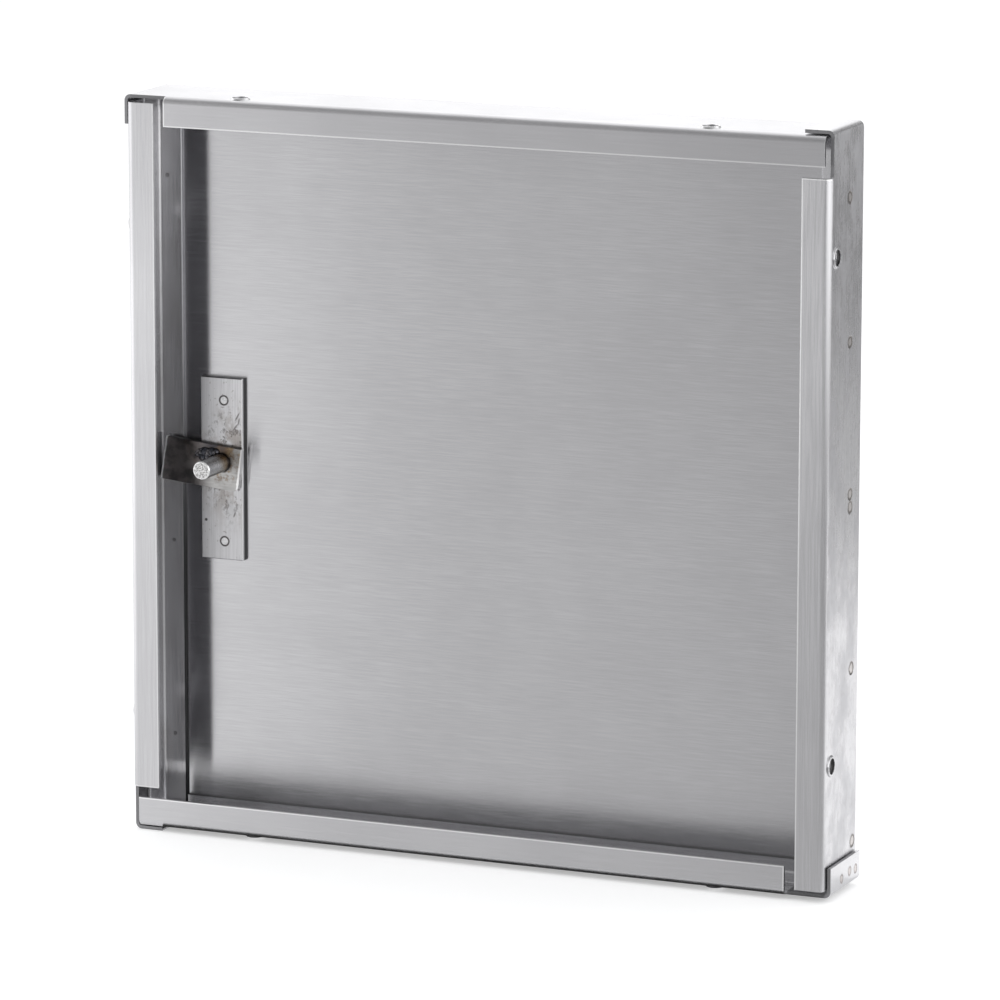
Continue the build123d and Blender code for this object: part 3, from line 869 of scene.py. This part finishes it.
def graded_paper(name, direction, offset, stops, fade=None):
    """Card paper whose glow is graded along one direction. Stops are (place, glow), and a fade is
    (axis, start, end, the share of the glow left at its end)."""
    material = bpy.data.materials.new(name)
    material.use_nodes = True
    tree = material.node_tree
    tree.nodes.remove(tree.nodes["Principled BSDF"])
    place = tree.nodes.new("ShaderNodeTexCoord").outputs["Object"]
    dot = tree.nodes.new("ShaderNodeVectorMath")
    dot.operation = "DOT_PRODUCT"
    tree.links.new(place, dot.inputs[0])
    dot.inputs[1].default_value = direction
    low, high = stops[0][0], stops[-1][0]
    brightest = max(glow for _, glow in stops)
    spread = tree.nodes.new("ShaderNodeMapRange")
    tree.links.new(dot.outputs["Value"], spread.inputs["Value"])
    spread.inputs["From Min"].default_value = low - offset
    spread.inputs["From Max"].default_value = high - offset
    ramp = tree.nodes.new("ShaderNodeValToRGB")
    tree.links.new(spread.outputs["Result"], ramp.inputs[0])
    ramp.color_ramp.interpolation = "EASE"
    while len(ramp.color_ramp.elements) < len(stops):
        ramp.color_ramp.elements.new(0.5)
    for element, (at, glow) in zip(ramp.color_ramp.elements, stops):
        element.position = (at - low) / (high - low)
        level = glow / brightest
        element.color = (level, level, level, 1)
    emission = tree.nodes.new("ShaderNodeEmission")
    tree.links.new(ramp.outputs["Color"], emission.inputs["Color"])
    emission.inputs["Strength"].default_value = brightest
    if fade:
        axis, start, end, least = fade
        parts = tree.nodes.new("ShaderNodeSeparateXYZ")
        tree.links.new(place, parts.inputs[0])
        fall = tree.nodes.new("ShaderNodeMapRange")
        fall.interpolation_type = "SMOOTHSTEP"
        tree.links.new(parts.outputs[axis], fall.inputs["Value"])
        fall.inputs["From Min"].default_value = start
        fall.inputs["From Max"].default_value = end
        fall.inputs["To Min"].default_value = brightest
        fall.inputs["To Max"].default_value = brightest * least
        tree.links.new(fall.outputs["Result"], emission.inputs["Strength"])
    tree.links.new(emission.outputs[0], tree.nodes["Material Output"].inputs["Surface"])
    return material


def card(name, low, high, paper):
    """A flat card between two corners that only reflections see."""
    low, high = Vector(low), Vector(high)
    size = high - low
    flat = next(index for index in range(3) if abs(size[index]) < 1e-6)
    turn = {0: (0, math.pi / 2, 0), 1: (math.pi / 2, 0, 0), 2: (0, 0, 0)}[flat]
    deselect()
    bpy.ops.mesh.primitive_plane_add(size=1.0, rotation=turn)
    bpy.ops.object.transform_apply(location=False, rotation=True, scale=False)
    item = bpy.context.object
    item.name = name
    item.location = (low + high) / 2
    item.scale = [1.0 if index == flat else length for index, length in enumerate(size)]
    bpy.ops.object.transform_apply(location=True, rotation=False, scale=True)
    for ray in ("camera", "diffuse", "shadow", "transmission", "volume_scatter"):
        setattr(item, f"visible_{ray}", False)
    item.data.materials.append(paper)


def photo_camera():
    """The photograph's camera: it looks at the aim from its azimuth and elevation, rolled a little."""
    data = bpy.data.cameras.new("photo_camera")
    data.sensor_width = SENSOR
    data.lens = FOCAL_PX / IMAGE_PX * SENSOR
    data.clip_end = 50.0
    camera = bpy.data.objects.new("photo_camera", data)
    bpy.context.scene.collection.objects.link(camera)
    right = Vector((math.cos(AZIMUTH), math.sin(AZIMUTH), 0))
    back = Vector((
        math.sin(AZIMUTH) * math.cos(ELEVATION), -math.cos(AZIMUTH) * math.cos(ELEVATION),
        math.sin(ELEVATION)))
    up = back.cross(right)
    side = right * math.cos(ROLL) + up * math.sin(ROLL)
    upper = up * math.cos(ROLL) - right * math.sin(ROLL)
    turn = Matrix((side, upper, back)).transposed().to_4x4()
    camera.matrix_world = Matrix.Translation(AIM + back * DISTANCE) @ turn
    bpy.context.scene.camera = camera


# Cards round the panel: how far out and up they stand, their height over the floor, and the strip
# left free for the panel
REACH = 1.6
CARD_TOP = 1.6
CARD_LIFT = 0.4 * MM
STRIP = 25 * MM

# The way the camera's rays leave the metal, along which the front cards are graded
LEAVING = (1, -0.426, 0)

# Glow along each card: (place, glow)
FRONT_STOPS = (
    (-1.6, 1.60), (-1.15, 1.28), (-0.94, 0.84), (-0.69, 0.73), (-0.44, 0.61),
    (-0.20, 0.42), (0.10, 0.30), (0.50, 0.40), (0.90, 1.40), (1.6, 1.80))
FRONT_FLOOR_STOPS = (
    (-1.6, 2.10), (-1.15, 1.80), (-0.94, 1.28), (-0.69, 0.79), (-0.44, 0.61),
    (-0.20, 0.54), (0.10, 0.50), (0.50, 0.60), (0.90, 1.20), (1.6, 1.50))
BACK_STOPS = ((-1.6, 1.5), (-0.6, 1.8), (-0.1, 1.5), (0.3, 0.26), (1.6, 0.24))
BACK_FLOOR_STOPS = ((-0.6, 1.6), (0.15, 1.6), (0.45, 1.5), (0.9, 0.72), (1.8, 0.26))
SIDE_STOPS = ((-1.6, 1.7), (-0.6, 1.9), (0.4, 1.4), (1.6, 0.8))
OVERHEAD_STOPS = ((-1.6, 0.3), (-0.2, 0.5), (0.5, 1.5), (1.6, 1.6))
SHADE_STOPS = ((-0.1, 0.03), (0.0, 0.02), (0.1, 0.03))

white_world()
pale_floor()
softbox("left_softbox", (-1.6, -1.6, 1.9), (0, 0, 0.16), 1.4, 1.4, 12)
softbox("right_softbox", (1.8, -1.2, 1.2), (0, 0, 0.16), 1.2, 1.2, 5)
softbox("top_softbox", (0.2, 0.5, 2.2), (0, 0, 0.16), 1.6, 1.2, 8)

front_paper = graded_paper(
    "front_card_paper", LEAVING, LEAVING[1] * REACH, FRONT_STOPS, fade=(2, 0.1, 1.1, 0.5))
front_floor_paper = graded_paper("front_floor_paper", LEAVING, LEAVING[1] * REACH, FRONT_FLOOR_STOPS)
back_paper = graded_paper("back_card_paper", (1, 0, 0), 0.0, BACK_STOPS)
back_floor_paper = graded_paper("back_floor_paper", (0.392, 0.92, 0), 0.0, BACK_FLOOR_STOPS)
side_paper = graded_paper("side_card_paper", (0, 1, 0), 0.0, SIDE_STOPS)
overhead_paper = graded_paper("overhead_card_paper", (0, 1, 0), 0.0, OVERHEAD_STOPS)
shade_paper = graded_paper("contact_shade_paper", (0, 1, 0), 0.0, SHADE_STOPS)

card("contact_shade_card", (-0.146, -0.0215, 2 * CARD_LIFT), (0.157, 0.022, 2 * CARD_LIFT), shade_paper)
card("front_card", (-REACH, -REACH, 0), (REACH, -REACH, CARD_TOP), front_paper)
card("front_floor_card", (-REACH, -REACH, CARD_LIFT), (REACH, -STRIP, CARD_LIFT), front_floor_paper)
card("back_card", (-REACH, REACH, 0), (REACH, REACH, CARD_TOP), back_paper)
card("back_floor_card", (-REACH, STRIP, CARD_LIFT), (REACH, REACH, CARD_LIFT), back_floor_paper)
card("left_card", (-REACH, -REACH, 0), (-REACH, REACH, CARD_TOP), side_paper)
card("right_card", (REACH, -REACH, 0), (REACH, REACH, CARD_TOP), side_paper)
card("overhead_card", (-REACH, -REACH, 1.7), (REACH, REACH, 1.7), overhead_paper)

photo_camera()
bpy.context.scene.view_settings.view_transform = "Standard"
